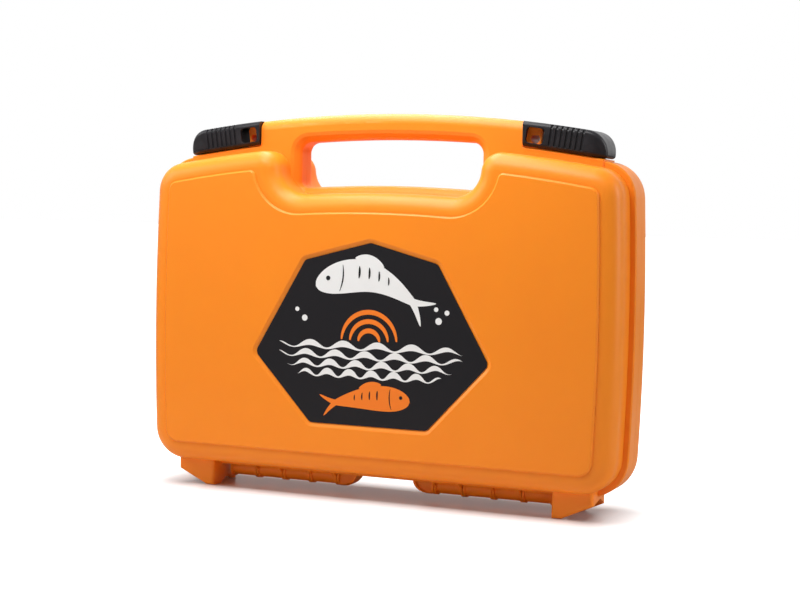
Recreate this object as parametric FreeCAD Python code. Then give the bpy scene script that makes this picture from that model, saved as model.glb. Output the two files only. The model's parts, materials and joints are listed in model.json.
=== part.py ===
import FreeCAD, Part
import math
import os

# Carrying case for fishing lures, standing upright on its hinge edge, in millimetres.
# X runs along the width, Y from the lid at the front to the base at the back, Z up.
# The origin lies on the floor, in the middle of the width, in the parting plane of the two shells.

Vector = FreeCAD.Vector
os.makedirs("parts", exist_ok=True)

# Overall body
body_half_width = 176.5
body_bottom = 19.0
body_front = 38.2
side_bow = 1.8
body_round = 12.0
corner_low = 24.0
corner_high = 21.0
corner_inner = 14.0
wall = 2.5

# The lines along the top are arcs about one centre far below
arc_centre_z = -670.5
handle_top_radius = 945.0
grip_height = 18.0
opening_height = 33.0
plate_strip = 5.5
shoulder_radius = 922.0

# Bay under the handle
bay_x = 57.0
bay_radius = 19.5

# Raised panel on the lid and on the base
panel_margin = 13.7
panel_height = 1.8
panel_edge_bevel = 1.1
panel_bay_x = 58.0
panel_bay_radius = 35.0
panel_corner_low = 10.0
panel_corner_high = 7.0
panel_corner_inner = 4.0

# Rim and handle plate
rim_proud = 4.3
rim_half = 12.5
rim_bevel = 0.9
floor_bevel = 8.0
parting_gap = 0.3
handle_half = 13.5
handle_end_x = 100.6
deck_radius = 927.4
deck_end_x = body_half_width - 18.3
deck_bevel = 0.9
grip_round = 7.0
opening_half_width = 70.0
opening_corner_high = 8.0
opening_corner_low = 5.0
opening_round = 5.0
crease_share = 0.29
rib_thickness = 1.8
grip_pockets = 5
tongue_height = 1.8
tongue_thickness = 1.2
tongue_clearance = 0.25
tongue_inset = 0.9
tongue_start_z = 60.0

# Hinge
hinge_z = 11.5
pin_radius = 2.0
pin_clearance = 0.05
barrel_radius = 6.0
flange_radius = 6.9
rib_width = 1.7
web_front = 3.4
knuckle_clearance = 0.5
knuckle_gap = 0.4
hinge_inner_x = 21.5
hinge_first_x = 38.0
knuckle_pitch = 22.0
knuckle_count = 4
pin_end_margin = 3.5
pin_overhang = 1.0
cheek_wall = 1.6
cheek_round = 12.8
cheek_hollow = 2.6

# Feet
hinge_end_x = hinge_first_x + knuckle_count * knuckle_pitch
lid_foot_inner_x = hinge_end_x + 4.7
lid_foot_outer_x = lid_foot_inner_x + 29.3
lid_foot_reach = 24.0
lid_foot_flat = 6.8
lid_foot_rise = 10.4
foot_wall = 2.5
foot_side_clearance = 0.6
base_foot_inner_x = lid_foot_inner_x + foot_wall + foot_side_clearance
base_foot_outer_x = lid_foot_outer_x - foot_wall - foot_side_clearance
base_foot_reach = 17.5
base_foot_flat = 9.0
base_foot_rise = 6.5
foot_edge_round = 2.4
lid_foot_sole = 11.5
base_foot_sole = 7.5
foot_heel_z = 7.2
foot_root = 2.1

# Latches, drawn lying flat and then tilted down the shoulder
latch_inner_x = handle_end_x + 0.5
latch_outer_x = deck_end_x + 2.2
latch_rise = 0.25
latch_top_wall = 3.0
latch_half = 16.0
latch_draw = 5.0
latch_taper = 12.0
latch_end_round = 15.0
latch_foot_round = 2.2
latch_inner_round = 3.0
latch_edge_round = 3.0
latch_end_straight = 0.02
latch_end_wall = 2.0
latch_travel = 15.0
pocket_end_x = latch_inner_x + 15.9
pocket_half = 12.6
window_start_x = latch_inner_x + 2.4
window_end_x = latch_inner_x + 15.2
window_low = 2.9
window_high = 13.6
window_round = 2.4
grip_rib_count = 8
grip_rib_pitch = 3.78
grip_rib_width = 2.0
grip_groove_depth = 0.9
grip_groove_reach = 5.5
grip_first_x = latch_inner_x + 18.0
grip_border = 2.6
rail_half = 7.5
rail_web_half = 4.6
rail_flange_low = 8.2
rail_height = 12.6
rail_clearance = 0.35
rail_end_x = latch_outer_x - 5.0
rail_start_margin = 1.8
eye_radius = 3.3
eye_x = latch_inner_x + 7.4
eye_height = 6.1
eye_tab_end_x = latch_inner_x + 11.8
eye_tab_height = 11.5
eye_tab_front = 9.0
eye_tab_round = 3.0
eye_root = 3.0
lug_end_x = latch_inner_x + 12.0
lug_clearance = 0.3

# Label
label_top_z = 183.3
label_shoulder = (50.4, 170.1)
label_side = (89.0, 102.9)
label_foot = (44.7, 55.0)
label_corner_round = 5.0
label_thickness = 0.6
label_clearance = 0.25
recess_depth = 1.5
recess_slope = 2.8

# Foam inserts
foam_clearance = 0.6
base_foam_front = 11.0
lid_foam_front = 19.0
foam_pitch = 15.0
foam_groove = 7.0
foam_slit_width = 1.4

centre_top = Vector(0, 0, arc_centre_z)
opening_high_radius = handle_top_radius - grip_height
opening_low_radius = opening_high_radius - opening_height
dip_radius = opening_low_radius - plate_strip


def at(x, z, y=0.0):
    """Point from its place in the front view."""
    return Vector(x, y, z)


def toward(start, end, distance):
    """Point on the ray from start through end."""
    step = end - start
    return start + step * (distance / step.Length)


def meet(first, first_radius, second, second_radius, side):
    """Right-hand or left-hand crossing of two circles in the front view."""
    across = second - first
    gap = across.Length
    along = (gap * gap + first_radius ** 2 - second_radius ** 2) / (2 * gap)
    lift = math.sqrt(first_radius ** 2 - along ** 2)
    unit = across * (1 / gap)
    normal = Vector(-unit.z, 0, unit.x) * side
    return first + unit * along + normal * lift


def arc(start, end, centre, radius):
    """Short arc about a centre."""
    middle = toward(centre, (start + end) * 0.5, radius)
    return Part.Arc(start, middle, end).toShape()


def mirrored(point):
    return Vector(-point.x, point.y, point.z)


def closed_symmetric(pieces):
    """Wire from the pieces of its right half, listed from the top middle to the bottom middle.

    A piece is (start, end) for a line and (start, end, centre, radius) for an arc.
    """
    edges = []
    for piece in pieces:
        if len(piece) == 2:
            edges.append(Part.LineSegment(*piece).toShape())
        else:
            edges.append(arc(*piece))
    for piece in reversed(pieces):
        ends = (mirrored(piece[1]), mirrored(piece[0]))
        if len(piece) == 2:
            edges.append(Part.LineSegment(*ends).toShape())
        else:
            edges.append(arc(*ends, mirrored(piece[2]), piece[3]))
    return Part.Wire(edges)


def extrude(wire, start_y, end_y):
    """Solid between two depths, from a wire drawn at depth 0."""
    face = Part.Face(wire)
    face.translate(Vector(0, start_y, 0))
    return face.extrude(Vector(0, end_y - start_y, 0))


def box(x0, x1, y0, y1, z0, z1):
    return Part.makeBox(x1 - x0, y1 - y0, z1 - z0, Vector(x0, y0, z0))


def side_circle(half_width, low, high):
    """Centre and radius of the slightly bowed side."""
    half_chord = (high - low) / 2
    radius = (half_chord ** 2 + side_bow ** 2) / (2 * side_bow)
    return at(half_width + side_bow - radius, (high + low) / 2), radius


def lower_half_pieces(half_width, bottom, shoulder, high_round, low_round):
    """Shoulder corner, bowed side, lower corner and bottom of an outline's right half."""
    shoulder_end_z = arc_centre_z + math.sqrt(shoulder ** 2 - half_width ** 2)
    side_centre, side_radius = side_circle(half_width, bottom + low_round, shoulder_end_z - high_round)
    high = meet(centre_top, shoulder - high_round, side_centre, side_radius - high_round, -1)
    high_start = toward(centre_top, high, shoulder)
    high_end = toward(side_centre, high, side_radius)
    low_z = bottom + low_round
    reach = math.sqrt((side_radius - low_round) ** 2 - (low_z - side_centre.z) ** 2)
    low = at(side_centre.x + reach, low_z)
    low_start = toward(side_centre, low, side_radius)
    low_end = at(low.x, bottom)
    return high_start, [
        (high_start, high_end, high, high_round),
        (high_end, low_start, side_centre, side_radius),
        (low_start, low_end, low, low_round),
        (low_end, at(0, bottom)),
    ]


def case_outline(half_width, bottom, shoulder, dip, bay, bay_round, inner_round, high_round, low_round):
    """Outline of the case with a bay under the handle: two shoulders and a dip between them."""
    bay_centre = at(bay, arc_centre_z + math.sqrt((dip + bay_round) ** 2 - bay ** 2))
    bay_start = toward(centre_top, bay_centre, dip)
    inner = meet(centre_top, shoulder - inner_round, bay_centre, bay_round + inner_round, -1)
    bay_end = toward(bay_centre, inner, bay_round)
    shoulder_start = toward(centre_top, inner, shoulder)
    shoulder_end, lower = lower_half_pieces(half_width, bottom, shoulder, high_round, low_round)
    return closed_symmetric([
        (at(0, arc_centre_z + dip), bay_start, centre_top, dip),
        (bay_start, bay_end, bay_centre, bay_round),
        (bay_end, shoulder_start, inner, inner_round),
        (shoulder_start, shoulder_end, centre_top, shoulder),
    ] + lower)


def body_outline(grow=0.0):
    return case_outline(
        body_half_width + grow, body_bottom - grow, shoulder_radius + grow, dip_radius + grow,
        bay_x, bay_radius - grow, corner_inner + grow, corner_high + grow, corner_low + grow)


def panel_outline():
    return case_outline(
        body_half_width - panel_margin, body_bottom + panel_margin, shoulder_radius - panel_margin,
        dip_radius - panel_margin, panel_bay_x, panel_bay_radius,
        panel_corner_inner, panel_corner_high, panel_corner_low)


def rim_outline():
    """Rim band round both shells; its top runs straight through under the handle."""
    shoulder = shoulder_radius + rim_proud
    start, lower = lower_half_pieces(
        body_half_width + rim_proud, body_bottom - rim_proud, shoulder,
        corner_high + rim_proud, corner_low + rim_proud)
    return closed_symmetric([(at(0, arc_centre_z + shoulder), start, centre_top, shoulder)] + lower)


def on_arc(radius, x):
    return at(x, arc_centre_z + math.sqrt(radius ** 2 - x ** 2))


def arch(top_radius, half, foot_radius):
    """Band between two of the concentric arcs, with upright ends."""
    return closed_symmetric([
        (at(0, arc_centre_z + top_radius), on_arc(top_radius, half), centre_top, top_radius),
        (on_arc(top_radius, half), on_arc(foot_radius, half)),
        (on_arc(foot_radius, half), at(0, arc_centre_z + foot_radius), centre_top, foot_radius),
    ])


def opening_outline(grow=0.0):
    """Hand opening, or the opening with its edge moved out."""
    high_radius = opening_high_radius + grow
    low_radius = opening_low_radius - grow
    half = opening_half_width + grow
    high_round = opening_corner_high + grow
    low_round = opening_corner_low + grow
    high = on_arc(high_radius - high_round, half - high_round)
    high_start = toward(centre_top, high, high_radius)
    low = on_arc(low_radius + low_round, half - low_round)
    low_end = toward(centre_top, low, low_radius)
    return closed_symmetric([
        (at(0, arc_centre_z + high_radius), high_start, centre_top, high_radius),
        (high_start, at(half, high.z), high, high_round),
        (at(half, high.z), at(half, low.z)),
        (at(half, low.z), low_end, low, low_round),
        (low_end, at(0, arc_centre_z + low_radius), centre_top, low_radius),
    ])


def edges_at_depth(shape, y, keep=None):
    """Edges that lie wholly at one depth, and pass a further test on their middle."""
    found = []
    for edge in shape.Edges:
        limits = edge.BoundBox
        if abs(limits.YMin - y) < 1e-4 and abs(limits.YMax - y) < 1e-4:
            middle = edge.valueAt((edge.FirstParameter + edge.LastParameter) / 2)
            if keep is None or keep(middle):
                found.append(edge)
    return found


def rounded_block(wire, start_y, end_y, radius):
    """Block whose edges at end_y are rounded."""
    block = extrude(wire, start_y, end_y)
    return block.makeFillet(radius, edges_at_depth(block, end_y))


def bevelled_block(wire, start_y, end_y, size):
    """Block whose edges at end_y are bevelled."""
    block = extrude(wire, start_y, end_y)
    return block.makeChamfer(size, edges_at_depth(block, end_y))


def label_outline(grow=0.0):
    """Seven-sided badge with rounded corners, moved out by grow."""
    right = [at(*label_shoulder), at(*label_side), at(*label_foot)]
    points = [at(0, label_top_z)] + right + [mirrored(point) for point in reversed(right)]
    sharp = Part.makePolygon(points + points[:1])
    inset = sharp.makeOffset2D(-label_corner_round, join=2)
    return inset.makeOffset2D(label_corner_round + grow, join=0)


# Every shell piece is drawn for the lid, in front of the parting plane, and turned over for the base.
lid_back = -parting_gap / 2


def shell_skin():
    """Deep block with a rim, a raised panel and half of the handle."""
    body = rounded_block(body_outline(), lid_back, -body_front, body_round)
    panel = bevelled_block(panel_outline(), -body_front + wall, -body_front - panel_height, panel_edge_bevel)
    rim = bevelled_block(rim_outline(), lid_back, -rim_half, rim_bevel)
    bay_half = handle_end_x - rim_proud
    bay = extrude(arch(handle_top_radius + wall, bay_half, dip_radius - wall / 2), 0, -body_front)
    opening = extrude(opening_outline(), 0, -body_front)
    return body.fuse([panel, rim.cut(bay)]).fuse(handle_half_block()).cut(opening).removeSplitter()


def handle_half_block():
    """Half of the handle plate: a rounded grip, and a deck on each shoulder for the latch."""
    foot_radius = dip_radius - wall
    grip = extrude(arch(handle_top_radius, handle_end_x + grip_round, foot_radius), lid_back, -handle_half)
    top = edges_at_depth(grip, -handle_half, lambda p: (p - centre_top).Length > handle_top_radius - 0.1)
    grip = grip.makeFillet(grip_round, top)
    grip = grip.common(box(-handle_end_x, handle_end_x, -handle_half, 0, 0, handle_top_radius))
    deck = bevelled_block(arch(deck_radius, deck_end_x, foot_radius), lid_back, -handle_half, deck_bevel)
    plate = grip.fuse(deck).removeSplitter()
    plate = plate.cut(extrude(opening_outline(), 0, -2 * handle_half))
    plate = plate.makeChamfer(opening_round, edges_at_depth(plate, -handle_half, near_opening(0)))
    creases = edges_at_depth(plate, -handle_half, near_opening(opening_round))
    creases += edges_at_depth(plate, opening_round - handle_half, near_opening(0))
    return plate.makeChamfer(opening_round * crease_share, creases)


def near_opening(grow):
    """Test for a point within the opening's outline moved out by grow."""
    def test(point):
        radius = (point - centre_top).Length
        inside = opening_low_radius - grow - 0.1 < radius < opening_high_radius + grow + 0.1
        return inside and abs(point.x) < opening_half_width + grow + 0.1
    return test


def shell_cavity():
    """Room inside a shell, open at the parting plane."""
    return bevelled_block(body_outline(-wall), 0, -body_front + wall, floor_bevel)


def both_sides(shape):
    return shape.fuse(shape.mirror(Vector(), Vector(1, 0, 0)))


def turned_over(shape):
    """The same piece for the base: mirrored in the parting plane."""
    return shape.mirror(Vector(), Vector(0, 1, 0))


def side_prism(points, x0, x1):
    """Prism along X from points given as (y, z)."""
    corners = [Vector(x0, y, z) for y, z in points]
    face = Part.Face(Part.makePolygon(corners + corners[:1]))
    return face.extrude(Vector(x1 - x0, 0, 0))


# The latch slides along the tangent to its deck at its own middle
latch_middle_x = (latch_inner_x + latch_outer_x) / 2
slide_angle = math.degrees(math.asin(latch_middle_x / deck_radius))
slide_origin = on_arc(deck_radius, latch_middle_x)
latch_top = handle_top_radius - deck_radius
inner_top = latch_top - latch_top_wall


def along(x):
    """Place along the slide of something seen at x in the front view, at half the latch's height."""
    slope = math.radians(slide_angle)
    return (x - latch_middle_x - latch_top / 2 * math.sin(slope)) / math.cos(slope)


def tilted(shape):
    shape.rotate(Vector(), Vector(0, 1, 0), slide_angle)
    shape.translate(slide_origin)
    return shape


def latch_form(grow=0.0):
    """Outer form of the right latch: crowned top, rounded outer end, cheeks that draw in."""
    centre = at(0, -deck_radius)
    top = handle_top_radius + grow
    start_u = along(latch_inner_x) - rim_half
    end_u = along(latch_outer_x) + grow
    # The end round is at most what leaves a straight edge between it and the foot round
    foot_radius = deck_radius + latch_rise + latch_foot_round + latch_end_straight
    most = (top ** 2 - end_u ** 2 - foot_radius ** 2) / (2 * (top - end_u))
    corner_round = min(latch_end_round + grow, most)
    corner_u = end_u - corner_round
    corner = at(corner_u, centre.z + math.sqrt((top - corner_round) ** 2 - corner_u ** 2))
    top_end = toward(centre, corner, top)
    foot = at(end_u - latch_foot_round, latch_rise + latch_foot_round)
    start = at(start_u, centre.z + math.sqrt(top ** 2 - start_u ** 2))
    profile = Part.Wire([
        arc(start, top_end, centre, top),
        arc(top_end, at(end_u, corner.z), corner, corner_round),
        Part.LineSegment(at(end_u, corner.z), at(end_u, foot.z)).toShape(),
        arc(at(end_u, foot.z), at(foot.x, latch_rise), foot, latch_foot_round),
        Part.LineSegment(at(foot.x, latch_rise), at(start_u, latch_rise)).toShape(),
        Part.LineSegment(at(start_u, latch_rise), start).toShape(),
    ])
    block = extrude(profile, -2 * latch_half, 2 * latch_half)
    half = latch_half + grow
    outer_half = half - latch_draw
    taper_u = end_u - latch_taper
    taper_radius = (latch_taper ** 2 + latch_draw ** 2) / (2 * latch_draw)
    plan = []
    for side in (-1, 1):
        start = Vector(start_u, side * half, 0)
        turn = Vector(taper_u, side * half, 0)
        end = Vector(end_u, side * outer_half, 0)
        plan.append(Part.LineSegment(start, turn).toShape())
        plan.append(arc(turn, end, Vector(taper_u, side * (half - taper_radius), 0), taper_radius))
    for u, y in ((start_u, half), (end_u, outer_half)):
        plan.append(Part.LineSegment(Vector(u, -y, 0), Vector(u, y, 0)).toShape())
    column = Part.Face(Part.Wire(Part.__sortEdges__(plan))).extrude(Vector(0, 0, 2 * latch_top))
    form = block.common(column)
    top_edges = []
    for edge in form.Edges:
        middle = edge.valueAt((edge.FirstParameter + edge.LastParameter) / 2)
        spread = edge.BoundBox
        if middle.z > latch_top / 2 and abs(middle.y) > outer_half - 0.5 and spread.XLength > 2:
            top_edges.append(edge)
    return form.makeFillet(latch_edge_round, top_edges)


def grip_grooves():
    """Grooves that leave the ribs standing on both cheeks and over the rounded top edges."""
    core = latch_form(-grip_groove_depth)
    width = grip_rib_pitch - grip_rib_width
    grooves = []
    for index in range(grip_rib_count - 1):
        middle = along(grip_first_x) + (index + 0.5) * grip_rib_pitch
        for near, far in ((-2, -1), (1, 2)):
            inner = latch_half - grip_groove_reach
            front = near * latch_half if near < 0 else inner
            back = -inner if near < 0 else far * latch_half
            groove = box(
                middle - width / 2, middle + width / 2, front, back, latch_rise + grip_border, 2 * latch_top)
            grooves.append(groove.cut(core))
    return grooves


def inner_corner():
    """What is cut away to round the latch's lower corner next to the handle, in the front view."""
    slope = math.radians(slide_angle)
    down = Vector(-math.sin(slope), 0, -math.cos(slope))
    centre_x = latch_inner_x + latch_inner_round
    lift = latch_rise + latch_inner_round
    offset = (centre_x - slide_origin.x - lift * math.sin(slope)) / math.cos(slope)
    centre = at(centre_x, slide_origin.z - offset * math.sin(slope) + lift * math.cos(slope))
    below = centre + down * (latch_inner_round + 1)
    side = at(latch_inner_x - 1, centre.z)
    corner = at(latch_inner_x - 1, below.z - 1)
    block = extrude(Part.makePolygon([centre, side, corner, below, centre]), -2 * latch_half, 2 * latch_half)
    start = centre - Vector(0, 3 * latch_half, 0)
    roller = Part.makeCylinder(latch_inner_round, 6 * latch_half, start, Vector(0, 1, 0))
    return block.cut(roller)


def latch_solid():
    """Right latch: channel over the rail, open toward the handle, with a window for a padlock."""
    form = latch_form().cut(grip_grooves())
    start_u = along(latch_inner_x) - 2 * rim_half
    pocket_end = along(pocket_end_x)
    flange = rail_half + rail_clearance
    slot = rail_web_half + rail_clearance
    slot_start = pocket_end + latch_end_wall
    rail_end = along(rail_end_x) + rail_clearance
    ceiling = rail_height + rail_clearance
    form = form.cut([
        box(start_u, pocket_end, -pocket_half, pocket_half, -latch_top, inner_top),
        box(slot_start, rail_end, -slot, slot, -latch_top, ceiling),
        box(slot_start, rail_end, -flange, flange, rail_flange_low - rail_clearance, ceiling),
    ])
    window = box(
        along(window_start_x), along(window_end_x), -2 * latch_half, 2 * latch_half, window_low, window_high)
    edges = [edge for edge in window.Edges if edge.BoundBox.YLength > latch_half]
    form = tilted(form.cut(window.makeFillet(window_round, edges)))
    room = 2 * handle_top_radius
    form = form.common(box(latch_inner_x, room, -latch_half * 2, latch_half * 2, 0, room))
    return form.cut(inner_corner()).removeSplitter()


def rail_solid():
    """Tee rail on the base for the right latch; its front half overhangs the lid's rim."""
    start = along(pocket_end_x) + latch_end_wall + latch_travel + rail_start_margin
    end = along(rail_end_x)
    web = box(start, end, -rail_web_half, rail_web_half, latch_rise, rail_height)
    flange = box(start, end, -rail_half, rail_half, rail_flange_low, rail_height)
    foot = box(start, end, parting_gap / 2, rail_web_half, -wall, latch_rise + 1)
    return tilted(web.fuse([flange, foot]).removeSplitter())


def eye_tab():
    """Half of the boss with the padlock hole, on a lug that the closed latch holds from the front."""
    low = -wall
    tab = tilted(box(
        along(handle_end_x) - eye_root, along(eye_tab_end_x), -eye_tab_front, lid_back, low, eye_tab_height))
    outer_x = max(vertex.X for vertex in tab.Vertexes)
    corner = [edge for edge in tab.Edges if edge.BoundBox.YLength > 1 and edge.BoundBox.XMax > outer_x - 0.01]
    tab = tab.makeFillet(eye_tab_round, corner)
    hole = Part.makeCylinder(eye_radius, 4 * eye_tab_front, Vector(), Vector(0, 1, 0))
    hole.translate(Vector(along(eye_x), -2 * eye_tab_front, eye_height))
    lug = tilted(box(
        along(handle_end_x) - eye_root, along(lug_end_x), -pocket_half + lug_clearance, lid_back, low,
        window_low - lug_clearance))
    return tab.fuse(lug).cut(tilted(hole)).removeSplitter()


def segments(owner):
    """Ends of the knuckles of one shell on the right: the base has the first, the lid the next."""
    limits = [hinge_inner_x] + [hinge_first_x + knuckle_pitch * step for step in range(knuckle_count + 1)]
    return [pair for step, pair in enumerate(zip(limits, limits[1:])) if step % 2 == owner]


def hinge_rod(radius, x0, x1):
    return Part.makeCylinder(radius, x1 - x0, Vector(x0, 0, hinge_z), Vector(1, 0, 0))


def knuckle(x0, x1):
    """Barrel under the lid's rim, with a rib at each end and a set-back web between them."""
    start = x0 + knuckle_gap / 2
    end = x1 - knuckle_gap / 2
    rim_low = body_bottom - rim_proud
    root = rim_half - rim_bevel
    web = side_prism([
        (lid_back, hinge_z), (-web_front, hinge_z), (-web_front, body_bottom), (lid_back, body_bottom)],
        start, end)
    pieces = [web]
    for edge_x in (start, end - rib_width):
        pieces.append(hinge_rod(flange_radius, edge_x, edge_x + rib_width))
        pieces.append(side_prism([
            (lid_back, hinge_z), (-flange_radius, hinge_z), (-root, rim_low), (-root, body_bottom),
            (lid_back, body_bottom)], edge_x, edge_x + rib_width))
    return hinge_rod(barrel_radius, start, end).fuse(pieces)


def cheek():
    """Innermost knuckle of the base: its edge curves down from the rim, round a shallow hollow."""
    start = hinge_inner_x
    end = hinge_first_x - knuckle_gap / 2

    def quarter(inset, front, back, far):
        low = hinge_z - flange_radius + inset
        block = box(start + inset, far, front, back, low, hinge_z + flange_radius)
        inner = [edge for edge in block.Edges
                 if edge.BoundBox.XMax < start + inset + 0.01 and edge.BoundBox.ZMax < low + 0.01]
        return block.makeFillet(cheek_round - inset, inner)

    solid = hinge_rod(flange_radius, start, end).common(quarter(0, -flange_radius, flange_radius, end))
    hollow = quarter(cheek_wall, -flange_radius, cheek_hollow - flange_radius, end - rib_width)
    root = rim_half - rim_bevel
    web = side_prism([
        (parting_gap / 2, hinge_z + web_front), (flange_radius, hinge_z + web_front), (root, body_bottom),
        (parting_gap / 2, body_bottom)], start, end)
    return solid.cut(hollow).fuse(web)


def with_knuckles(shell, owner):
    """Cut a shell back round the other's knuckles, then add its own, bored for the pin."""
    clear = flange_radius + knuckle_clearance
    cuts = []
    for x0, x1 in segments(1 - owner):
        cuts.append(hinge_rod(clear, x0 - knuckle_gap, x1 + knuckle_gap))
    heel = lid_foot_inner_x if owner == 0 else base_foot_inner_x
    cuts.append(hinge_rod(clear, heel - foot_side_clearance, heel + foot_wall + foot_side_clearance))
    if owner == 0:
        own = [cheek()] + [turned_over(knuckle(x0, x1)) for x0, x1 in segments(0)[1:]]
    else:
        own = [knuckle(x0, x1) for x0, x1 in segments(1)]
    bore = hinge_rod(
        pin_radius + pin_clearance, hinge_inner_x + pin_end_margin, hinge_end_x + pin_overhang + rib_width)
    added = own[0].fuse(own[1:]).cut(bore)
    shell = shell.cut([both_sides(cut) for cut in cuts])
    return shell.fuse(both_sides(added)).cut(both_sides(bore))


def foot(inner_x, outer_x, flat, rise, reach, sole):
    """Hollow foot on the lid's side of the right hand: chamfered below, open behind."""
    top = body_bottom + foot_root
    outline = [at(inner_x, 0), at(inner_x + flat, 0), at(outer_x, rise), at(outer_x, top), at(inner_x, top)]
    block = rounded_block(Part.makePolygon(outline + outline[:1]), lid_back, -reach, foot_edge_round)
    room = box(inner_x + foot_wall, outer_x - foot_wall, -reach + foot_wall, 1, -1, body_bottom)
    inner_cut = side_prism(
        [(-reach + sole, -1), (-reach + sole, 0), (1, foot_heel_z), (1, -1)],
        inner_x - 1, inner_x + foot_wall + 1)
    outer_cut = side_prism(
        [(-reach + foot_wall, -1), (-reach + foot_wall, rise), (1, body_bottom - rim_proud), (1, -1)],
        inner_x + foot_wall, outer_x + 1)
    return block.cut([room, inner_cut, outer_cut])


def handle_pockets():
    """Hollows in the back of a handle half, with ribs left between them."""
    low = opening_high_radius + opening_round
    high = handle_top_radius - grip_round
    step = 2 * (opening_half_width - 2 * wall) / grip_pockets
    pockets = []
    for index in range(grip_pockets):
        start = -opening_half_width + 2 * wall + index * step + rib_thickness / 2
        end = start + step - rib_thickness
        pockets.append(extrude(Part.Wire([
            arc(on_arc(low, start), on_arc(low, end), centre_top, low),
            Part.LineSegment(on_arc(low, end), on_arc(high, end)).toShape(),
            arc(on_arc(high, end), on_arc(high, start), centre_top, high),
            Part.LineSegment(on_arc(high, start), on_arc(low, start)).toShape(),
        ]), 1, -handle_half + 2 * wall))
    return pockets


def shell_blank(tray, foot_piece):
    """Tray of either shell with everything the two have alike, still facing front."""
    return tray.fuse([both_sides(foot_piece), both_sides(eye_tab())]).cut(handle_pockets())


def seal(grow):
    """Closed band in the parting plane, a little outside the body's outline."""
    outer = extrude(body_outline(tongue_inset + tongue_thickness + grow), -tongue_height - grow, wall / 2)
    inner = extrude(body_outline(tongue_inset - grow), -2 * tongue_height, wall)
    low = box(-2 * body_half_width, 2 * body_half_width, -wall, wall, 0, tongue_start_z - grow)
    return outer.cut([inner, low])


def label_recess():
    """Shallow recess with a sloped border in the lid's panel."""
    face = -body_front - panel_height
    rim_wire = label_outline(label_clearance + recess_slope)
    rim_wire.translate(Vector(0, face, 0))
    floor_wire = label_outline(label_clearance)
    floor_wire.translate(Vector(0, face + recess_depth, 0))
    return Part.makeLoft([rim_wire, floor_wire], True)


def label_piece():
    floor = -body_front - panel_height + recess_depth
    return extrude(label_outline(), floor, floor - label_thickness)


def foam(front):
    """Insert on the floor of a shell, grooved across, with a slit at the bottom of every groove."""
    room = bevelled_block(body_outline(-wall - foam_clearance), -front, -body_front + wall, floor_bevel)
    low = body_bottom + wall
    high = shoulder_radius + arc_centre_z
    count = int((high - low) / foam_pitch)
    cuts = []
    for index in range(1, count):
        z = low + index * foam_pitch
        half = foam_groove / 2
        slit = foam_slit_width / 2
        depth = front + foam_groove
        cuts.append(side_prism([
            (-front + 1, z + half), (-front, z + half), (-depth, z + slit), (-depth - foam_groove, z + slit),
            (-depth - foam_groove, z - slit), (-depth, z - slit), (-front, z - half), (-front + 1, z - half)],
            -2 * body_half_width, 2 * body_half_width))
    return room.cut(cuts)


def hinge_pin():
    return hinge_rod(pin_radius, hinge_inner_x + pin_end_margin, hinge_end_x + pin_overhang)


tray = shell_skin().cut(shell_cavity())
lid_foot = foot(
    lid_foot_inner_x, lid_foot_outer_x, lid_foot_flat, lid_foot_rise, lid_foot_reach, lid_foot_sole)
base_foot = foot(
    base_foot_inner_x, base_foot_outer_x, base_foot_flat, base_foot_rise, base_foot_reach, base_foot_sole)
lid = with_knuckles(shell_blank(tray, lid_foot), 1)
lid = lid.cut(label_recess()).cut(seal(tongue_clearance)).removeSplitter()
base = with_knuckles(turned_over(shell_blank(tray, base_foot)), 0)
base = base.fuse(both_sides(rail_solid())).removeSplitter().fuse(seal(0))
latch = latch_solid()
pin = hinge_pin()
across = Vector(1, 0, 0)

parts = {
    "base_shell": base,
    "lid_shell": lid,
    "right_latch": latch,
    "left_latch": latch.mirror(Vector(), across),
    "right_hinge_pin": pin,
    "left_hinge_pin": pin.mirror(Vector(), across),
    "label_plate": label_piece(),
    "base_foam": turned_over(foam(base_foam_front)),
    "lid_foam": foam(lid_foam_front),
}
for name, shape in parts.items():
    solids = shape.Solids
    print(name, shape.isValid(), len(solids), round(shape.Volume))
    solids[0].exportStep("parts/" + name + ".step")
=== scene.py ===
# %% [markdown]
# # A lure box on a white sweep
#
# The object is a clamshell carrying case in orange polypropylene, standing on its hinge edge.
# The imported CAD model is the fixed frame: it already holds the two shells, the latches, the hinge
# pins, the label plate and stiff blocks where the foam goes. This script gives each of them a
# finish, prints a drawing on the label, adds small raised forms at the latches, replaces the two
# foam blocks by soft ones, and sets up the floor, the light and the camera.

# %% Load the frame
import json
import math

import bpy
import numpy as np
from mathutils import Matrix, Vector


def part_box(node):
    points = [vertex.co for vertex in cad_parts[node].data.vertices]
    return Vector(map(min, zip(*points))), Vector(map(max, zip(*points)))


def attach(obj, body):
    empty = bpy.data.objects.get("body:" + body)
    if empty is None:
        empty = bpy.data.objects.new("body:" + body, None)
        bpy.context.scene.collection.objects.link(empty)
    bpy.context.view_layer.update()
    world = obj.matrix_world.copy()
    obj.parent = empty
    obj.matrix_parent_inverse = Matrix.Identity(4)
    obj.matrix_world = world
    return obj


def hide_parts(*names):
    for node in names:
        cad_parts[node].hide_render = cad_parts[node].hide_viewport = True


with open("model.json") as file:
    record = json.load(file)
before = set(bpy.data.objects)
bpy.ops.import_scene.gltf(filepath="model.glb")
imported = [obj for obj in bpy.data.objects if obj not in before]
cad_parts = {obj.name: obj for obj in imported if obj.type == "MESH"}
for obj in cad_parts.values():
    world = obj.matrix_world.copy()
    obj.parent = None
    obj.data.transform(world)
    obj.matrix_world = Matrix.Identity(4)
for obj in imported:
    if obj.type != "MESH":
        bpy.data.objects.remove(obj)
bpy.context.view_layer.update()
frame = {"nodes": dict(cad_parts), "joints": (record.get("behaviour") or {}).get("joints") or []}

MM = 0.001
nodes = frame["nodes"]
scene = bpy.context.scene
scene.view_settings.view_transform = "Standard"

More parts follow.
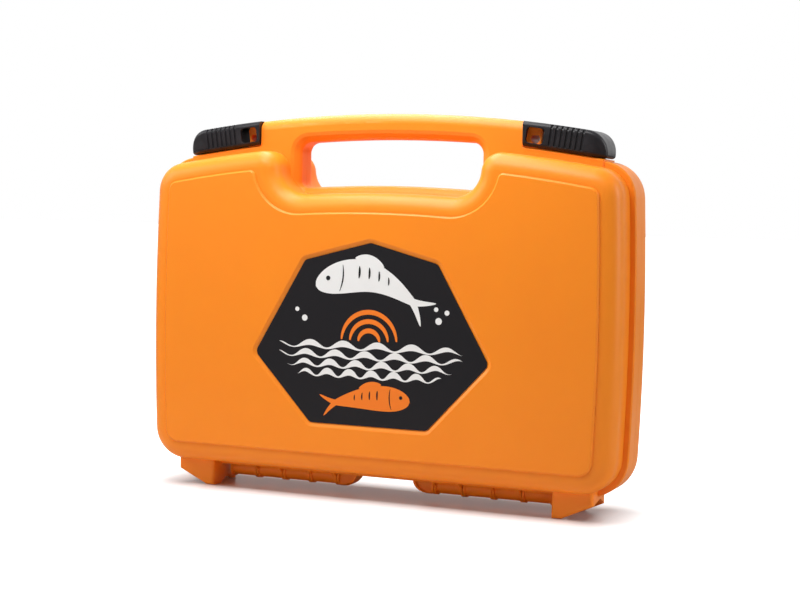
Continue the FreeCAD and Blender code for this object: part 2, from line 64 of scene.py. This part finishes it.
# %% [markdown]
# ## Helpers for materials
#
# Every finish is a node tree on Object coordinates, so a pattern keeps its real size in metres and
# stays with the piece when it moves. `add_node` makes a node and sets its inputs by name, or by
# number after an underscore. A value that is itself a socket is linked instead.

# %% A short way to wire nodes


def add_node(tree, kind, settings=None, **inputs):
    """New node in a tree, with its settings and its inputs."""
    node = tree.nodes.new(kind)
    for key, value in (settings or {}).items():
        setattr(node, key, value)
    for key, value in inputs.items():
        numbered = key[1:].isdigit()
        socket = node.inputs[int(key[1:])] if numbered else node.inputs[key.replace("_", " ")]
        if isinstance(value, bpy.types.NodeSocket):
            tree.links.new(value, socket)
        else:
            socket.default_value = value
    return node


class Finish:
    """A material under construction."""

    def __init__(self, name):
        self.material = bpy.data.materials.new(name)
        self.material.use_nodes = True
        self.tree = self.material.node_tree
        self.tree.nodes.clear()
        self.point = self.add("ShaderNodeTexCoord").outputs["Object"]

    def add(self, kind, settings=None, **inputs):
        return add_node(self.tree, kind, settings, **inputs)

    def noise(self, scale, detail):
        return self.add("ShaderNodeTexNoise", Vector=self.point, Scale=scale, Detail=detail).outputs["Fac"]

    def vector(self, operation, **inputs):
        return self.add("ShaderNodeVectorMath", {"operation": operation}, **inputs)

    def spread(self, value, low, high, to_low=0.0, to_high=1.0):
        """A value from low to high, carried over to the range from to_low to to_high."""
        made = self.add("ShaderNodeMapRange", _0=value, _1=low, _2=high, _3=to_low, _4=to_high)
        return made.outputs[0]

    def mix(self, share, a, b):
        return self.add("ShaderNodeMix", {"data_type": "RGBA"}, _0=share, _6=a, _7=b).outputs[2]

    def relief(self, height, distance, strength, normal=None):
        """Bump of a real height: distance is in metres for a height of 0 to 1."""
        inputs = {"Height": height, "Distance": distance, "Strength": strength}
        if normal is not None:
            inputs["Normal"] = normal
        return self.add("ShaderNodeBump", **inputs).outputs[0]

    def output(self, **inputs):
        shader = self.add("ShaderNodeBsdfPrincipled", **inputs)
        self.add("ShaderNodeOutputMaterial", Surface=shader.outputs[0])
        return self.material


def paint(node_names, material):
    """Give CAD nodes a finish in place of the plain one they came with."""
    for name in node_names:
        mesh = nodes[name].data
        mesh.materials.clear()
        mesh.materials.append(material)


print("helpers ready")

# %% [markdown]
# ## Orange polypropylene
#
# The shells are moulded in one colour. What keeps them from looking like paint is a very fine
# spark-eroded grain, slightly uneven gloss, and the way thin edges glow because light goes a little
# way into the plastic. The grain is two noises as a bump of a few hundredths of a millimetre, and
# the glow is a small amount of subsurface scattering.

# %% Shell finish
ORANGE = (1.0, 0.278, 0.014, 1.0)
ORANGE_DEEP = (0.95, 0.244, 0.011, 1.0)
SHELL_EDGE = 0.5 * MM
GRAIN_DEPTH = 0.035 * MM
PEEL_DEPTH = 0.04 * MM


def shell_finish(name):
    f = Finish(name)
    flow = f.noise(14.0, 3.0)
    grain = f.noise(2600.0, 1.0)
    orange_peel = f.noise(420.0, 2.0)
    colour = f.mix(f.spread(flow, 0.35, 0.65, 0.0, 0.35), ORANGE, ORANGE_DEEP)
    edge = f.add("ShaderNodeBevel", {"samples": 6}, Radius=SHELL_EDGE).outputs[0]
    normal = f.relief(grain, GRAIN_DEPTH, 0.5, f.relief(orange_peel, PEEL_DEPTH, 0.5, edge))
    gloss = f.spread(flow, 0.3, 0.7, 0.36, 0.44)
    return f.output(
        Base_Color=colour, Roughness=gloss, Specular_IOR_Level=0.3, IOR=1.49, Normal=normal,
        Subsurface_Weight=0.12, Subsurface_Radius=(0.004, 0.0016, 0.0005), Subsurface_Scale=0.6)


shell_material = shell_finish("orange_polypropylene")
paint(["base_shell", "lid_shell"], shell_material)
print("shells painted")

# %% [markdown]
# ## Black latches and steel pins
#
# The latches are a harder plastic with an eggshell sheen: nearly black and a little smoother than
# the shells, so that their ribs catch a highlight. The hinge pins are drawn wire: fine scratches
# along their length, which is the X axis.

# %% Latch and pin finishes
LATCH_EDGE = 0.4 * MM


def latch_finish():
    f = Finish("black_latch")
    grain = f.noise(1900.0, 2.0)
    wear = f.spread(f.noise(160.0, 3.0), 0.4, 0.7)
    colour = f.mix(wear, (0.010, 0.009, 0.011, 1.0), (0.016, 0.015, 0.018, 1.0))
    edge = f.add("ShaderNodeBevel", {"samples": 6}, Radius=LATCH_EDGE).outputs[0]
    return f.output(
        Base_Color=colour, Roughness=f.spread(wear, 0.0, 1.0, 0.30, 0.38), Specular_IOR_Level=0.24,
        Normal=f.relief(grain, 0.03 * MM, 0.5, edge))


def pin_finish():
    f = Finish("drawn_wire")
    stretched = f.add("ShaderNodeMapping", Vector=f.point, Scale=(40.0, 9000.0, 9000.0)).outputs[0]
    lines = f.add("ShaderNodeTexNoise", Vector=stretched, Scale=1.0, Detail=2.0).outputs["Fac"]
    return f.output(
        Base_Color=(0.55, 0.56, 0.58, 1.0), Metallic=1.0, Roughness=f.spread(lines, 0.3, 0.7, 0.22, 0.38),
        Normal=f.relief(lines, 0.01 * MM, 0.4))


paint(["left_latch", "right_latch"], latch_finish())
paint(["left_hinge_pin", "right_hinge_pin"], pin_finish())
print("latches and pins painted")

# %% [markdown]
# ## The printed label
#
# On the real case a black plate with a white and orange print sits in a recess. The print here is
# a drawing of its own, of fish, sun and water. Each stroke is a ribbon, a strip of quads that follows
# a centre line with its own half width, so tapering strokes and fish bodies come from the same
# function. Each stroke lies a few thousandths of a millimetre before the last one, so that none
# shares a plane with another.

# %% Label plate and ribbon strokes
PRINT_BLACK = (0.012, 0.011, 0.013, 1.0)
PRINT_LIFT = 0.06 * MM
STROKE_LIFT = 0.003 * MM


def label_finish(name, colour, roughness):
    f = Finish(name)
    speckle = f.noise(900.0, 2.0)
    return f.output(
        Base_Color=colour, Roughness=f.spread(speckle, 0.3, 0.7, roughness, roughness + 0.06),
        Specular_IOR_Level=0.16)


paint(["label_plate"], label_finish("label_film", PRINT_BLACK, 0.34))
label_low, label_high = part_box("label_plate")
label_front = label_low.y
label_middle = (label_low + label_high) / 2


def surface(name, points, faces, material, body):
    """A flat-shaded piece from an array of points and a list of faces, riding on a CAD body."""
    mesh = bpy.data.meshes.new(name)
    mesh.from_pydata([tuple(p) for p in points], [], [tuple(int(i) for i in face) for face in faces])
    mesh.polygons.foreach_set("use_smooth", [False] * len(mesh.polygons))
    mesh.update()
    mesh.materials.append(material)
    piece = bpy.data.objects.new(name, mesh)
    scene.collection.objects.link(piece)
    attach(piece, body)
    return piece


def ribbon(line, half):
    """Points and quads of a flat strip: line is n by 2 in (x, z), half is n half widths."""
    along = np.gradient(line, axis=0)
    along /= np.linalg.norm(along, axis=1)[:, None] + 1e-12
    across = np.stack([-along[:, 1], along[:, 0]], axis=1) * np.asarray(half)[:, None]
    edge = np.concatenate([line + across, line - across])
    count = len(line)
    start = np.arange(count - 1)
    quads = np.stack([start, start + 1, start + 1 + count, start + count], axis=1)
    return edge, quads


def printed(name, strokes, material, lift):
    """One printed colour: all its strokes as one piece just in front of the plate."""
    points = []
    faces = []
    for layer, (line, half) in enumerate(strokes):
        edge, quads = ribbon(np.asarray(line), half)
        faces.extend(quads + sum(len(p) for p in points))
        depth = label_front - lift - layer * STROKE_LIFT
        points.append(np.stack([edge[:, 0], np.full(len(edge), depth), edge[:, 1]], axis=1))
    return surface(name, np.concatenate(points), faces, material, "lid")


print("label front at", round(label_front / MM, 2), "mm")

# %% [markdown]
# ### Strokes of the drawing
#
# A stroke is a centre line with half widths. A fish is four of them, the body, two tail lobes and
# a fin, and its marks are six more. Water is a sine, the sun is half rings, and a drop or an eye is
# a disc. Discs, water lines and fins keep a hair of width where they would run out to none.

# %% Fish, water, sun and drops
HAIR = 0.001 * MM
GIRTH = 0.15
EYE_PLACE = 0.115
EYE_RADIUS = 0.022
# Place along the fish, reach up the flank and width of the gill line and of each side bar.
BARS = (
    (0.24, 0.86, 0.014),
    (0.40, 0.62, 0.022),
    (0.50, 0.62, 0.020),
    (0.60, 0.62, 0.018),
    (0.70, 0.6, 0.016))


def spine_at(s, length, bend):
    """Points of the spine, one arch of a sine, at shares s of its length from the head."""
    return np.stack([(s - 0.5) * length, bend * length * np.sin(np.pi * s)], axis=1)


def girth_at(s):
    """Half width of the body for a length of 1: a sine whose top is pushed towards the head."""
    return GIRTH * np.sin(np.pi * s ** 0.62) ** 0.85


def disc(x, z, radius):
    """Round spot, as a ribbon along its own diameter."""
    a = np.linspace(-0.5 * np.pi, 0.5 * np.pi, 16)
    line = np.stack([x + radius * np.sin(a), np.full(len(a), z)], axis=1)
    return line, radius * np.cos(a) + HAIR


def placed(strokes, x, z, turn, heading):
    """Strokes that face left (heading -1) or right (1), turned about their origin and moved to (x, z)."""
    cosine = math.cos(turn)
    sine = math.sin(turn)
    spin = np.array([[-heading * cosine, -heading * sine], [-sine, cosine]])
    return [(line @ spin + np.array([x, z]), half) for line, half in strokes]


def minnow(x, z, length, turn, bend, heading):
    """A fish seen from the side, head first along its spine.

    The body follows the spine with a small root left for the tail, the two tail lobes leave the
    spine's end along its own direction, and the fin is a short ribbon on the back, widest in its
    middle.
    """
    s = np.linspace(0.0, 1.0, 72)
    spine = spine_at(s, length, bend)
    girth = length * (girth_at(s) + 0.026 * s ** 2)
    strokes = [(spine, girth)]
    ahead = np.array([1.0, -bend * np.pi]) / math.hypot(1.0, bend * np.pi)
    aside = np.array([-ahead[1], ahead[0]])
    t = np.linspace(0.0, 1.0, 24)
    for side in (-1.0, 1.0):
        lobe = np.outer(0.20 * t - 0.03, ahead) + np.outer(side * 0.13 * t ** 1.3, aside)
        strokes.append((spine[-1] + length * lobe, length * (0.034 * (1.0 - t) ** 0.6 + 0.001)))
    fin_s = np.linspace(0.36, 0.66, 20)
    root = spine_at(fin_s, length, bend)
    root[:, 1] += np.interp(fin_s, s, girth) + 0.012 * length
    swell = np.sin(np.pi * np.linspace(0.0, 1.0, len(fin_s))) ** 0.7
    strokes.append((root, 0.045 * length * swell + 10 * HAIR))
    return placed(strokes, x, z, turn, heading)


def markings(x, z, length, turn, bend, heading):
    """Eye, gill line and side bars of the same fish, for the plate's own black on top of the print."""
    eye_z = 0.035 * length + bend * length * math.sin(math.pi * EYE_PLACE)
    strokes = [disc((EYE_PLACE - 0.5) * length, eye_z, EYE_RADIUS * length)]
    taper = np.sin(np.linspace(0.05, np.pi - 0.05, 16)) ** 0.5
    for place, reach, width in BARS:
        foot = -0.15 if place > 0.3 else -reach
        rise = np.linspace(foot, reach, len(taper))
        centre = bend * length * math.sin(math.pi * place)
        bow = 0.025 * length * (1.0 - rise ** 2)
        flank = centre + rise * length * girth_at(place)
        line = np.stack([(place - 0.5) * length + bow, flank], axis=1)
        strokes.append((line, 0.5 * width * length * taper))
    return placed(strokes, x, z, turn, heading)


def half_ring(x, z, radius, width):
    """Upper half of a ring that runs out to a point at both ends."""
    a = np.linspace(0.06, np.pi - 0.06, 80)
    line = np.stack([x + radius * np.cos(a), z + radius * np.sin(a)], axis=1)
    return line, 0.5 * width * np.sin(a) ** 0.4


def wave(z, half_length, pitch, rise, width, shift):
    """Water line: a sine along X whose stroke swells on each crest and runs out at both ends."""
    x = np.linspace(-half_length, half_length, 160)
    phase = 2 * np.pi * (x / pitch + shift)
    line = np.stack([x, z + rise * np.sin(phase)], axis=1)
    ends = np.clip(1.0 - np.abs(x / half_length) ** 6, 0.0, 1.0)
    return line, 0.5 * width * (0.62 + 0.38 * np.sin(phase)) * ends + HAIR


print("stroke functions ready")

# %% [markdown]
# ### The drawing
#
# A white minnow leaps over an orange sun that sinks into white water, and an orange minnow swims
# below. Everything is placed from the plate's own middle. The black marks on the fish are a third
# colour, a hair in front of the other two.

# %% Draw the label
white_ink = label_finish("white_ink", (0.86, 0.86, 0.85, 1.0), 0.4)
orange_ink = label_finish("orange_ink", (0.93, 0.22, 0.025, 1.0), 0.38)
black_ink = label_finish("black_ink", PRINT_BLACK, 0.34)

middle_z = label_middle.z
horizon = middle_z - 5 * MM
# Place, length, turn, bend of the spine and heading.
LEAPING = (-4 * MM, middle_z + 28 * MM, 76 * MM, math.radians(-7), 0.17, -1)
SWIMMING = (3 * MM, middle_z - 47 * MM, 58 * MM, math.radians(4), 0.05, 1)
# In millimetres: half lengths of the water lines, radii of the sun, place and radius of each drop.
WATER_REACHES = (70.0, 70.0, 63.0, 55.0)
SUN_RADII = (8.0, 14.5, 21.0)
DROPS = ((52.0, 12.0, 2.4), (58.0, 18.0, 1.8), (50.0, 20.0, 1.6), (-50.0, 10.0, 2.2), (-56.0, 16.0, 1.6))

white_strokes = minnow(*LEAPING)
for row, reach in enumerate(WATER_REACHES):
    sunk = (4.0 + 6.6 * row) * MM
    pitch = (26.0 - 3.0 * row) * MM
    white_strokes.append(wave(horizon - sunk, reach * MM, pitch, 1.9 * MM, 4.6 * MM, 0.37 * row))
white_strokes += [disc(x * MM, middle_z + z * MM, radius * MM) for x, z, radius in DROPS]
orange_strokes = [half_ring(0.0, horizon, radius * MM, 3.4 * MM) for radius in SUN_RADII]
orange_strokes += minnow(*SWIMMING)
black_strokes = markings(*LEAPING) + markings(*SWIMMING)
print(len(white_strokes), "white,", len(orange_strokes), "orange and", len(black_strokes), "black strokes")
for ink_name, ink_strokes, ink, layer in (
        ("label_white", white_strokes, white_ink, 1),
        ("label_orange", orange_strokes, orange_ink, 2),
        ("label_black", black_strokes, black_ink, 3)):
    printed(ink_name, ink_strokes, ink, layer * PRINT_LIFT)

# %% [markdown]
# ## Under and inside the latches
#
# The padlock boss fills the latch's window nearly to the top, and the latch slides on a flat land
# moulded on the curved deck. Both are small raised forms on the CAD solids, so each is a profile in
# the latch's own plane, carried along the depth. That plane comes from the slide joint: `u` runs
# along the slide and `w` stands square on it. The left side is worked out as its mirror image.

# %% Read the slide planes
EDGE_WIDTH = 0.25 * MM
slides = {}
for joint in frame["joints"]:
    if joint["name"].endswith("latch_slide"):
        side = 1 if joint["axis"][0] > 0 else -1
        along = np.array([side * joint["axis"][0], joint["axis"][2]])
        slides[side] = np.array([along, [-along[1], along[0]]])


def corners(mesh):
    """All corners of a mesh, n by 3."""
    found = np.empty(len(mesh.vertices) * 3)
    mesh.vertices.foreach_get("co", found)
    return found.reshape(-1, 3)


def in_slide_plane(points, side):
    """(u, w) of points in the front view: along the slide outward, and square on it upward."""
    return (points[:, [0, 2]] * np.array([side, 1.0])) @ slides[side].T


def from_slide_plane(places, side):
    """(x, z) of (u, w) places, the other way round."""
    return (places @ slides[side]) * np.array([side, 1.0])


def moulded_block(name, places, side, front, back, body):
    """Profile of (u, w) places carried from one depth to another, with closed ends and soft edges."""
    flat = from_slide_plane(np.asarray(places), side)
    count = len(flat)
    rings = [np.stack([flat[:, 0], np.full(count, y), flat[:, 1]], axis=1) for y in (front, back)]
    start = np.arange(count)
    step = (start + 1) % count
    faces = np.stack([start, step, step + count, start + count], axis=1).tolist()
    faces += [start[::-1].tolist(), (start + count).tolist()]
    if side < 0:
        faces = [face[::-1] for face in faces]
    piece = surface(name, np.concatenate(rings), faces, shell_material, body)
    soften = piece.modifiers.new("soften", "BEVEL")
    soften.width = EDGE_WIDTH
    soften.segments = 2


print("slide planes of", len(slides), "latches")

# %% [markdown]
# ### Crests and lands
#
# The boss is found on the lid's mesh: it is what stands outside the handle and well above the
# latch's underside. Its crest overlaps it by a skin, is rounded at its outer top corner, and comes
# in two halves that leave the seam between the shells open. The land lies a hair under the latch.

# %% Raise the padlock bosses and lay the lands
BOSS_RISE = 2.75 * MM
BOSS_ROUND = 3.0 * MM
BOSS_SKIN = 0.05 * MM
BOSS_OUTSIDE = 1 * MM
BOSS_ABOVE = 5 * MM
SEAM = 0.1 * MM
# A point inside the handle, this far inward of the latch and at this height above the floor.
INTO_HANDLE = 2 * MM
HANDLE_LEVEL = 262 * MM
LAND_GAP = 0.04 * MM
LAND_THICKNESS = 1 * MM
LAND_INWARD = 19 * MM
LAND_OUTWARD = 7 * MM
LAND_FRONT = 0.4 * MM
LAND_BACK = 7.4 * MM

shell_points = corners(nodes["lid_shell"].data)
for side, latch in ((-1, "left_latch"), (1, "right_latch")):
    tag = "right" if side > 0 else "left"
    latch_points = corners(nodes[latch].data)
    latch_places = in_slide_plane(latch_points, side)
    latch_inner = np.abs(latch_points[:, 0]).min()
    underside = latch_places[:, 1].min()

    shell_places = in_slide_plane(shell_points, side)
    is_outside = side * shell_points[:, 0] > latch_inner + BOSS_OUTSIDE
    is_boss = is_outside & (shell_places[:, 1] > underside + BOSS_ABOVE)
    boss_end, boss_top = shell_places[is_boss].max(axis=0) + BOSS_SKIN
    boss_front = shell_points[is_boss, 1].min() - BOSS_SKIN
    in_handle = np.array([[side * (latch_inner - INTO_HANDLE), 0.0, HANDLE_LEVEL]])
    handle_side = in_slide_plane(in_handle, side)[0, 0]
    top = boss_top + BOSS_RISE
    profile = [(handle_side, boss_top - BOSS_ROUND), (boss_end, boss_top - BOSS_ROUND)]
    for a in np.linspace(0.0, 0.5 * np.pi, 7):
        profile.append((boss_end - BOSS_ROUND * (1 - math.cos(a)), top - BOSS_ROUND * (1 - math.sin(a))))
    profile.append((handle_side, top))
    moulded_block(tag + "_boss_crest_lid", profile, side, boss_front, -SEAM, "lid")
    moulded_block(tag + "_boss_crest_base", profile, side, SEAM, -boss_front, "base")

    middle = (latch_places[:, 0].min() + latch_places[:, 0].max()) / 2
    inner = middle - LAND_INWARD
    outer = middle + LAND_OUTWARD
    low = underside - LAND_THICKNESS
    high = underside - LAND_GAP
    land = [(inner, low), (outer, low), (outer, high), (inner, high)]
    moulded_block(tag + "_latch_land", land, side, LAND_FRONT, LAND_BACK, "base")
    print(tag, "boss ends at", round(boss_end / MM, 2), "and rises to", round(top / MM, 2))

# %% [markdown]
# ## Foam inserts
#
# Each shell holds a block of dark closed-cell foam with slits, into which hooks are pressed. A CAD
# block has hard edges, and foam that was cut and pressed into a tray never has: its edges are
# rounded and its faces wander a little. The CAD block is copied, remeshed into even cells, relaxed
# by pulling each point towards its neighbours' mean, and then given a faint swell from two sines.

# %% Foam finish


def foam_finish():
    f = Finish("closed_cell_foam")
    cells = f.add("ShaderNodeTexVoronoi", Vector=f.point, Scale=900.0).outputs["Distance"]
    cloud = f.noise(60.0, 4.0)
    colour = f.mix(f.spread(cloud, 0.3, 0.7), (0.030, 0.030, 0.034, 1.0), (0.052, 0.052, 0.058, 1.0))
    return f.output(
        Base_Color=colour, Roughness=0.92, Specular_IOR_Level=0.2, Sheen_Weight=0.12,
        Normal=f.relief(cells, 0.3 * MM, 0.7))


foam_material = foam_finish()
print("foam finish ready")

# %% Soften the blocks
WELD_DISTANCE = 0.02 * MM
FOAM_CELL = 2.0 * MM
FOAM_SHRINK = np.array([0.995, 0.97, 0.993])
FOAM_SWELL = 0.25 * MM


def relaxed(points, edges, rounds, share):
    """Move every point a share of the way to the mean of its neighbours, some rounds over."""
    count = np.bincount(edges.ravel(), minlength=len(points))[:, None]
    for _ in range(rounds):
        total = np.zeros_like(points)
        np.add.at(total, edges[:, 0], points[edges[:, 1]])
        np.add.at(total, edges[:, 1], points[edges[:, 0]])
        points = points + share * (total / np.maximum(count, 1) - points)
    return points


def soft_block(name, node, body):
    """Soft copy of a CAD foam block, slightly smaller about its own middle."""
    mesh = nodes[node].data.copy()
    mesh.materials.clear()
    piece = bpy.data.objects.new(name, mesh)
    scene.collection.objects.link(piece)
    weld = piece.modifiers.new("weld", "WELD")
    weld.merge_threshold = WELD_DISTANCE
    remesh = piece.modifiers.new("remesh", "REMESH")
    remesh.mode = "VOXEL"
    remesh.voxel_size = FOAM_CELL
    graph = bpy.context.evaluated_depsgraph_get()
    even = bpy.data.meshes.new_from_object(piece.evaluated_get(graph))
    piece.modifiers.clear()
    piece.data = even
    edges = np.empty(len(even.edges) * 2, dtype=np.int64)
    even.edges.foreach_get("vertices", edges)
    points = relaxed(corners(even), edges.reshape(-1, 2), rounds=4, share=0.5)
    middle = (points.max(axis=0) + points.min(axis=0)) / 2
    points = middle + (points - middle) * FOAM_SHRINK
    points[:, 1] += FOAM_SWELL * np.sin(points[:, 0] * 37.0) * np.sin(points[:, 2] * 51.0 + 0.7)
    even.vertices.foreach_set("co", points.ravel())
    even.polygons.foreach_set("use_smooth", [True] * len(even.polygons))
    even.materials.clear()
    even.materials.append(foam_material)
    even.update()
    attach(piece, body)
    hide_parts(node)
    print(name, len(even.polygons), "faces")


soft_block("base_foam_soft", "base_foam", "base")
soft_block("lid_foam_soft", "lid_foam", "lid")

# %% [markdown]
# ## Floor
#
# The case stands on a white sweep. The camera sees the floor glow with its distance beyond the case's
# footprint, so that it runs out to white. Close round the footprint the glow is weak, which paints shade
# around the case on top of the real contact shadow under the feet.

# %% Floor
FLOOR_HALF = 12.0
FOOTPRINT = (0.152, 0.022, 0.0)
# How far beyond the footprint the floor's glow takes to reach full: the width of the painted shade round
# the case.
PAINTED_SHADE_REACH = 0.045
WHITE = (1.0, 1.0, 1.0, 1.0)

floor_mesh = bpy.data.meshes.new("floor")
floor_corners = [(x * FLOOR_HALF, y * FLOOR_HALF, 0) for x, y in ((-1, -1), (1, -1), (1, 1), (-1, 1))]
floor_mesh.from_pydata(floor_corners, [], [(0, 1, 2, 3)])
floor = bpy.data.objects.new("floor", floor_mesh)
scene.collection.objects.link(floor)


def floor_finish():
    """White paint that glows, for the camera, with its distance beyond the case's footprint.

    The distance is the length of what is left of |x| and |y| after half the footprint is taken off.
    The glow is none at the footprint and full a few centimetres beyond it, so the floor close round the
    case is painted darker: painted shade added to the real contact shadow. Towards everything but the
    camera the floor is a plain pale grey without the glow, so that it doesn't throw more light up at
    the front of the case.
    """
    f = Finish("white_floor")
    paint_shader = f.add(
        "ShaderNodeBsdfPrincipled", Base_Color=(0.64, 0.62, 0.61, 1.0), Roughness=0.35,
        Specular_IOR_Level=0.12)
    quiet_shader = f.add("ShaderNodeBsdfDiffuse", Color=(0.78, 0.76, 0.74, 1.0))
    folded = f.vector("ABSOLUTE", _0=f.point).outputs[0]
    beyond = f.vector("SUBTRACT", _0=folded, _1=FOOTPRINT).outputs[0]
    outside = f.vector("MAXIMUM", _0=beyond, _1=(0.0, 0.0, 0.0)).outputs[0]
    away = f.vector("LENGTH", _0=outside).outputs["Value"]
    # The glow rises from none at the footprint to full a few centimetres beyond it, which paints shade
    # close round the case.
    glow = f.add("ShaderNodeEmission", Color=WHITE, Strength=f.spread(away, 0.0, PAINTED_SHADE_REACH))
    seen = f.add("ShaderNodeLightPath").outputs["Is Camera Ray"]
    lit = f.add("ShaderNodeAddShader", _0=paint_shader.outputs[0], _1=glow.outputs[0])
    both = f.add("ShaderNodeMixShader", _0=seen, _1=quiet_shader.outputs[0], _2=lit.outputs[0])
    f.add("ShaderNodeOutputMaterial", Surface=both.outputs[0])
    return f.material


floor_mesh.materials.append(floor_finish())
print("floor ready")

# %% [markdown]
# ## World and lamps
#
# The world is white for the camera and in reflections, and gives the surfaces only a little light.
# Four area lamps do the rest: a key from the upper left in front, a wide one above, a small strip
# in front of and above the grip, and a tall one far out on the right for the right end.

# %% World and lamps
AMBIENT = 0.10

world = bpy.data.worlds.new("studio")
scene.world = world
world.use_nodes = True
sky = world.node_tree
sky.nodes.clear()
ray = add_node(sky, "ShaderNodeLightPath").outputs
seen = add_node(sky, "ShaderNodeMath", _0=ray["Is Camera Ray"], _1=ray["Is Transmission Ray"])
mirrored = add_node(sky, "ShaderNodeMath", _0=seen.outputs[0], _1=ray["Is Glossy Ray"])
ambient = add_node(sky, "ShaderNodeBackground", Color=WHITE, Strength=AMBIENT)
white = add_node(sky, "ShaderNodeBackground", Color=WHITE, Strength=1.0)
mixed = add_node(
    sky, "ShaderNodeMixShader", _0=mirrored.outputs[0], _1=ambient.outputs[0], _2=white.outputs[0])
add_node(sky, "ShaderNodeOutputWorld", Surface=mixed.outputs[0])


def lamp(name, place, target, size, power):
    """Area lamp that faces a target: places and sizes in metres, power in watts."""
    data = bpy.data.lights.new(name, "AREA")
    data.shape = "RECTANGLE"
    data.size, data.size_y = size
    data.energy = power
    made = bpy.data.objects.new(name, data)
    made.location = place
    made.rotation_euler = (Vector(target) - Vector(place)).to_track_quat("-Z", "Y").to_euler()
    scene.collection.objects.link(made)


lamp("key", (-0.75, -0.42, 0.6), (-0.25, 0, 0.2), (0.45, 0.45), 3.35)
lamp("top", (-0.1, -0.03, 0.62), (0, 0, 0.2), (0.8, 0.25), 4.6)
lamp("strip", (0.0, -0.26, 0.5), (0, 0, 0.28), (0.5, 0.1), 0.6)
lamp("side", (1.5, 0.1, 0.6), (0.15, 0, 0.14), (0.3, 0.9), 9.2)
print("lamps placed")

# %% [markdown]
# ## Camera
#
# The camera stands right of the middle and looks back to the left, 23 degrees round. Its place and
# its small roll were worked out from the photograph's own lines, with a lens of 72 mm on a 36 mm
# sensor.

# %% Camera
CAMERA_PLACE = (0.45312, -1.05444, 0.20874)
yaw = math.radians(22.96)
pitch = math.radians(-3.33)
roll = math.radians(1.20)
forward = Vector((-math.sin(yaw) * math.cos(pitch), math.cos(yaw) * math.cos(pitch), math.sin(pitch)))
level = Vector((math.cos(yaw), math.sin(yaw), 0.0))
upright = level.cross(forward)
right = level * math.cos(roll) + upright * math.sin(roll)
up = upright * math.cos(roll) - level * math.sin(roll)
turned = Matrix((
    (right.x, up.x, -forward.x, 0),
    (right.y, up.y, -forward.y, 0),
    (right.z, up.z, -forward.z, 0),
    (0, 0, 0, 1)))
camera_data = bpy.data.cameras.new("camera")
camera_data.lens = 72.0
camera_data.sensor_width = 36.0
camera_data.clip_end = 60.0
camera = bpy.data.objects.new("camera", camera_data)
camera.matrix_world = Matrix.Translation(CAMERA_PLACE) @ turned
scene.collection.objects.link(camera)
scene.camera = camera
print("camera at", [round(v, 3) for v in camera.location])
